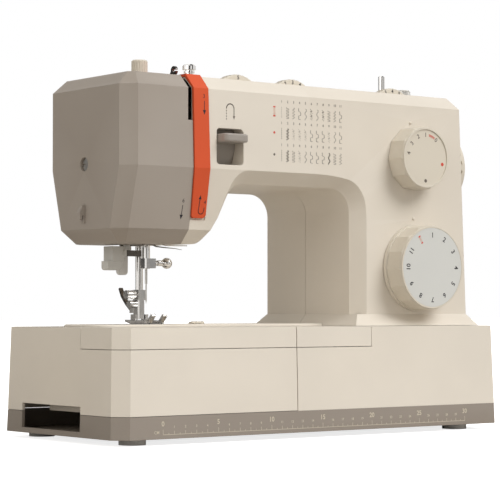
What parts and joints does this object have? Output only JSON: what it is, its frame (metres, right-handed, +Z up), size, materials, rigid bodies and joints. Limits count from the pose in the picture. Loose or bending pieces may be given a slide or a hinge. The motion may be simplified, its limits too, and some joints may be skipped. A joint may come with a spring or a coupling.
{
  "type": "sewing machine",
  "caption": "Domestic free-arm sewing machine with front dials, a taupe face cover with an orange thread trim, a needle area and a sliding accessory box.",
  "frame": {"origin": "middle of the bounding box at floor level, under the feet", "axes": "+X along the bed towards the handwheel, +Y away from the person sewing, +Z up"},
  "size_m": [0.387, 0.165, 0.297],
  "materials": {
    "cream_plastic": "satin",
    "taupe_plastic": "satin",
    "orange_plastic": "satin",
    "grey_disc": "satin",
    "dark_plastic": "satin",
    "white_plastic": "satin",
    "rubber": "matte",
    "black_rubber": "matte",
    "chrome": "polished",
    "steel": "brushed",
    "cast_alloy": "matte",
    "clear_plastic": "gloss"
  },
  "bodies": {
    "machine": {"rubber_feet": "rubber", "base_tray": "taupe_plastic", "base_cover": "cream_plastic", "bed_front_cover": "cream_plastic", "power_inlet": "dark_plastic", "free_arm": "cream_plastic", "shuttle_door": "cream_plastic", "needle_plate": "steel", "shuttle_race": "steel", "bobbin_case": "steel", "cast_frame": "cast_alloy", "motor_body": "cast_alloy", "motor_belt": "black_rubber", "face_cover": "taupe_plastic", "face_screw": "steel", "thread_cutter": "taupe_plastic", "thread_trim": "orange_plastic", "front_shell": "cream_plastic", "rear_shell": "cream_plastic", "lever_pocket": "cream_plastic", "thread_stud": "chrome", "winder_stop": "clear_plastic"},
    "drive": {"main_shaft": "steel", "crank_disc": "steel", "handwheel": "cream_plastic"},
    "needle_link": {"needle_rod": "steel"},
    "shuttle_link": {"shuttle_rod": "steel"},
    "motor_drive": {"motor_rotor": "steel"},
    "needle_group": {"needle_bar": "chrome", "needle_clamp": "chrome", "clamp_screw": "chrome", "needle": "steel"},
    "take_up": {"take_up_lever": "chrome"},
    "lower_drive": {"lower_shaft": "steel"},
    "hook": {"shuttle_hook": "steel"},
    "bobbin_body": {"bobbin": "steel"},
    "presser": {"presser_bar": "chrome", "presser_spring": "steel", "foot_holder": "chrome", "presser_screw": "chrome"},
    "foot": {"presser_foot": "chrome"},
    "release": {"foot_release_lever": "chrome"},
    "lifter": {"lifter_lever": "white_plastic"},
    "threader_body": {"threader": "taupe_plastic"},
    "knob": {"pressure_knob": "cream_plastic"},
    "tension": {"tension_dial": "cream_plastic"},
    "width": {"width_dial": "cream_plastic"},
    "balance": {"balance_dial": "cream_plastic"},
    "length": {"length_dial": "cream_plastic"},
    "pattern": {"pattern_dial": "cream_plastic", "pattern_disc": "grey_disc"},
    "reverse": {"reverse_lever": "taupe_plastic"},
    "winder": {"winder_carriage": "steel"},
    "spindle": {"winder_spindle": "chrome"},
    "spool": {"spool_pin": "steel"},
    "switch": {"power_switch": "dark_plastic"},
    "box": {"accessory_box": "cream_plastic"},
    "lid": {"box_lid": "cream_plastic"},
    "drop_slider": {"drop_feed_slider": "dark_plastic"},
    "feed": {"feed_dog": "steel"}
  },
  "joints": [
    {"name": "handwheel_spin", "type": "hinge", "parent": "machine", "child": "drive", "pos_m": [0.18, -0.0025, 0.2188], "axis": [1, 0, 0], "continuous": true},
    {"name": "needle_rod_turn", "type": "hinge", "parent": "drive", "child": "needle_link", "pos_m": [-0.1074, -0.0025, 0.2338], "axis": [1, 0, 0], "continuous": true},
    {"name": "shuttle_rod_turn", "type": "hinge", "parent": "drive", "child": "shuttle_link", "pos_m": [0.0945, -0.0025, 0.2128], "axis": [1, 0, 0], "continuous": true},
    {"name": "motor_spin", "type": "hinge", "parent": "machine", "child": "motor_drive", "pos_m": [0.1535, -0.045, 0.036], "axis": [1, 0, 0], "continuous": true},
    {"name": "needle_bar_slide", "type": "slide", "parent": "machine", "child": "needle_group", "axis": [0, 0, -1], "range_m": [0, 0.03]},
    {"name": "take_up_swing", "type": "hinge", "parent": "machine", "child": "take_up", "pos_m": [-0.1148, -0.012, 0.24], "axis": [1, 0, 0], "range_deg": [0, 46]},
    {"name": "lower_shaft_rock", "type": "hinge", "parent": "machine", "child": "lower_drive", "pos_m": [0, 0.02, 0.06], "axis": [-1, 0, 0], "range_deg": [0, 200]},
    {"name": "hook_rock", "type": "hinge", "parent": "machine", "child": "hook", "pos_m": [-0.1148, 0, 0.06], "axis": [0, -1, 0], "range_deg": [0, 200]},
    {"name": "bobbin_spin", "type": "hinge", "parent": "machine", "child": "bobbin_body", "pos_m": [-0.1148, -0.0145, 0.06], "axis": [0, 1, 0], "continuous": true},
    {"name": "presser_lift", "type": "slide", "parent": "machine", "child": "presser", "axis": [0, 0, 1], "range_m": [0, 0.006], "deforming": ["presser_spring"]},
    {"name": "foot_tilt", "type": "hinge", "parent": "presser", "child": "foot", "pos_m": [-0.1148, 0.0065, 0.0925], "axis": [-1, 0, 0], "range_deg": [0, 8]},
    {"name": "foot_release", "type": "hinge", "parent": "presser", "child": "release", "pos_m": [-0.1148, 0.0135, 0.0975], "axis": [1, 0, 0], "range_deg": [0, 10], "stiffness_Nm_per_rad": 0.02},
    {"name": "lifter_swing", "type": "hinge", "parent": "machine", "child": "lifter", "pos_m": [-0.118, 0.02, 0.152], "axis": [1, 0, 0], "range_deg": [0, 70]},
    {"name": "threader_slide", "type": "slide", "parent": "machine", "child": "threader_body", "axis": [0, 0, -1], "range_m": [0, 0.03], "stiffness_N_per_m": 20, "springref_m": -0.01},
    {"name": "pressure_turn", "type": "hinge", "parent": "machine", "child": "knob", "pos_m": [-0.1148, 0.007, 0.28], "axis": [0, 0, 1], "continuous": true},
    {"name": "tension_turn", "type": "hinge", "parent": "machine", "child": "tension", "pos_m": [-0.0517, -0.0325, 0.257], "axis": [0, 1, 0], "range_deg": [-140, 140]},
    {"name": "width_turn", "type": "hinge", "parent": "machine", "child": "width", "pos_m": [0.0026, -0.0325, 0.257], "axis": [0, 1, 0], "range_deg": [-140, 140]},
    {"name": "balance_turn", "type": "hinge", "parent": "machine", "child": "balance", "pos_m": [0.1083, -0.0325, 0.257], "axis": [0, 1, 0], "range_deg": [-140, 140]},
    {"name": "length_turn", "type": "hinge", "parent": "machine", "child": "length", "pos_m": [0.108, -0.068, 0.2211], "axis": [0, -1, 0], "range_deg": [-82, 181]},
    {"name": "pattern_turn", "type": "hinge", "parent": "machine", "child": "pattern", "pos_m": [0.1115, -0.07, 0.1322], "axis": [0, -1, 0], "continuous": true},
    {"name": "reverse_press", "type": "hinge", "parent": "machine", "child": "reverse", "pos_m": [-0.077, -0.015, 0.228], "axis": [1, 0, 0], "range_deg": [0, 12], "stiffness_Nm_per_rad": 0.5, "springref_deg": -8.59},
    {"name": "winder_shift", "type": "slide", "parent": "machine", "child": "winder", "axis": [1, 0, 0], "range_m": [0, 0.004]},
    {"name": "spindle_spin", "type": "hinge", "parent": "winder", "child": "spindle", "pos_m": [0.135, 0.0075, 0.28], "axis": [0, 0, 1], "continuous": true},
    {"name": "spool_pin_slide", "type": "slide", "parent": "machine", "child": "spool", "axis": [0, 0, 1], "range_m": [0, 0.045]},
    {"name": "switch_rock", "type": "hinge", "parent": "machine", "child": "switch", "pos_m": [0.178, -0.012, 0.043], "axis": [0, 1, 0], "range_deg": [0, 8]},
    {"name": "box_slide", "type": "slide", "parent": "machine", "child": "box", "axis": [-1, 0, 0], "range_m": [0, 0.175]},
    {"name": "lid_open", "type": "hinge", "parent": "box", "child": "lid", "pos_m": [-0.112, -0.0313, 0.083], "axis": [-1, 0, 0], "range_deg": [0, 80]},
    {"name": "drop_feed_slide", "type": "slide", "parent": "machine", "child": "drop_slider", "axis": [1, 0, 0], "range_m": [0, 0.006]},
    {"name": "feed_dog_drop", "type": "slide", "parent": "machine", "child": "feed", "axis": [0, 0, -1], "range_m": [0, 0.0025]}
  ],
  "couplings": [
    {"joint": "needle_rod_turn", "follows": "handwheel_spin", "ratio": -1},
    {"joint": "shuttle_rod_turn", "follows": "handwheel_spin", "ratio": -1},
    {"joint": "motor_spin", "follows": "handwheel_spin", "ratio": 3.25},
    {"joint": "take_up_swing", "follows": "needle_bar_slide", "rad_per_m": 26.761},
    {"joint": "lower_shaft_rock", "follows": "needle_bar_slide", "rad_per_m": 116.35},
    {"joint": "hook_rock", "follows": "needle_bar_slide", "rad_per_m": 116.35},
    {"joint": "lifter_swing", "follows": "presser_lift", "rad_per_m": 203.57},
    {"joint": "drop_feed_slide", "follows": "feed_dog_drop", "ratio": 2.4}
  ]
}
